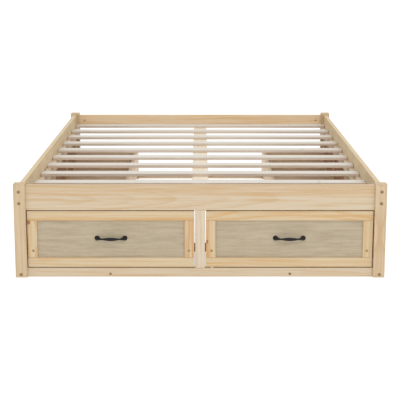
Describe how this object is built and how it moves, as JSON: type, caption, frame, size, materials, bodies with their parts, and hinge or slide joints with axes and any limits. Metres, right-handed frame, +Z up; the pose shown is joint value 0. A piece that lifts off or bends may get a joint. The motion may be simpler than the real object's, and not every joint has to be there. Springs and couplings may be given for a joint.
{
  "type": "platform bed",
  "caption": "Low slatted platform bed in natural pine with drawers under the foot end and under each side, framed drawer fronts and black bar pulls.",
  "frame": {"origin": "on the floor, under the centre of the whole footprint with the handles", "axes": "+Z up, -Y towards the foot end with its two drawers, +X to the right as seen from the foot end"},
  "size_m": [1.623, 2.1215, 0.413],
  "materials": {
    "pine_frame": "clear matt lacquer",
    "pale_pine": "planed, unfinished",
    "slat_pine": "planed, unfinished",
    "drawer_pine": "clear matt lacquer",
    "plywood": "pine-faced plywood, matt lacquer",
    "box_plywood": "plywood, unfinished",
    "brown_board": "hardboard, smooth face up",
    "zinc_steel": "zinc plated",
    "black_metal": "black, satin"
  },
  "bodies": {
    "frame": {"foot_left_post": "pine_frame", "foot_right_post": "pine_frame", "head_left_post": "pine_frame", "head_right_post": "pine_frame", "foot_top_rail": "pine_frame", "foot_bottom_rail": "pine_frame", "head_top_rail": "pine_frame", "head_bottom_rail": "pine_frame", "left_top_rail": "pine_frame", "right_top_rail": "pine_frame", "left_bottom_rail": "pine_frame", "right_bottom_rail": "pine_frame", "side_mid_posts": "pine_frame", "foot_centre_post": "pale_pine", "slat_ledgers": "pale_pine", "centre_beam": "pale_pine", "centre_legs": "pale_pine", "drawer_runners": "pale_pine", "left_side_panel": "plywood", "right_side_panel": "plywood", "frame_fasteners": "zinc_steel", "slat_01": "slat_pine", "slat_02": "slat_pine", "slat_03": "slat_pine", "slat_04": "slat_pine", "slat_05": "slat_pine", "slat_06": "slat_pine", "slat_07": "slat_pine", "slat_08": "slat_pine", "slat_09": "slat_pine", "slat_10": "slat_pine", "fixed_slide_members": "zinc_steel"},
    "foot_left_slide_middle": {"foot_left_middle_slides": "zinc_steel"},
    "foot_left_drawer": {"foot_left_front_frame": "drawer_pine", "foot_left_front_panel": "plywood", "foot_left_handle": "black_metal", "foot_left_box": "box_plywood", "foot_left_bottom": "brown_board", "foot_left_inner_slides": "zinc_steel"},
    "foot_right_slide_middle": {"foot_right_middle_slides": "zinc_steel"},
    "foot_right_drawer": {"foot_right_front_frame": "drawer_pine", "foot_right_front_panel": "plywood", "foot_right_handle": "black_metal", "foot_right_box": "box_plywood", "foot_right_bottom": "brown_board", "foot_right_inner_slides": "zinc_steel"},
    "side_left_slide_middle": {"side_left_middle_slides": "zinc_steel"},
    "side_left_drawer": {"side_left_front_frame": "drawer_pine", "side_left_front_panels": "plywood", "side_left_handles": "black_metal", "side_left_box": "box_plywood", "side_left_bottom": "brown_board", "side_left_inner_slides": "zinc_steel"},
    "side_right_slide_middle": {"side_right_middle_slides": "zinc_steel"},
    "side_right_drawer": {"side_right_front_frame": "drawer_pine", "side_right_front_panels": "plywood", "side_right_handles": "black_metal", "side_right_box": "box_plywood", "side_right_bottom": "brown_board", "side_right_inner_slides": "zinc_steel"}
  },
  "joints": [
    {"name": "foot_left_pull", "type": "slide", "parent": "frame", "child": "foot_left_drawer", "axis": [0, -1, 0], "range_m": [0, 0.4]},
    {"name": "foot_left_middle_travel", "type": "slide", "parent": "frame", "child": "foot_left_slide_middle", "axis": [0, -1, 0], "range_m": [0, 0.2]},
    {"name": "foot_right_pull", "type": "slide", "parent": "frame", "child": "foot_right_drawer", "axis": [0, -1, 0], "range_m": [0, 0.4]},
    {"name": "foot_right_middle_travel", "type": "slide", "parent": "frame", "child": "foot_right_slide_middle", "axis": [0, -1, 0], "range_m": [0, 0.2]},
    {"name": "side_left_pull", "type": "slide", "parent": "frame", "child": "side_left_drawer", "axis": [-1, 0, 0], "range_m": [0, 0.3]},
    {"name": "side_left_middle_travel", "type": "slide", "parent": "frame", "child": "side_left_slide_middle", "axis": [-1, 0, 0], "range_m": [0, 0.15]},
    {"name": "side_right_pull", "type": "slide", "parent": "frame", "child": "side_right_drawer", "axis": [1, 0, 0], "range_m": [0, 0.3]},
    {"name": "side_right_middle_travel", "type": "slide", "parent": "frame", "child": "side_right_slide_middle", "axis": [1, 0, 0], "range_m": [0, 0.15]}
  ],
  "couplings": [
    {"joint": "foot_left_middle_travel", "follows": "foot_left_pull", "ratio": 0.5},
    {"joint": "foot_right_middle_travel", "follows": "foot_right_pull", "ratio": 0.5},
    {"joint": "side_left_middle_travel", "follows": "side_left_pull", "ratio": 0.5},
    {"joint": "side_right_middle_travel", "follows": "side_right_pull", "ratio": 0.5}
  ]
}
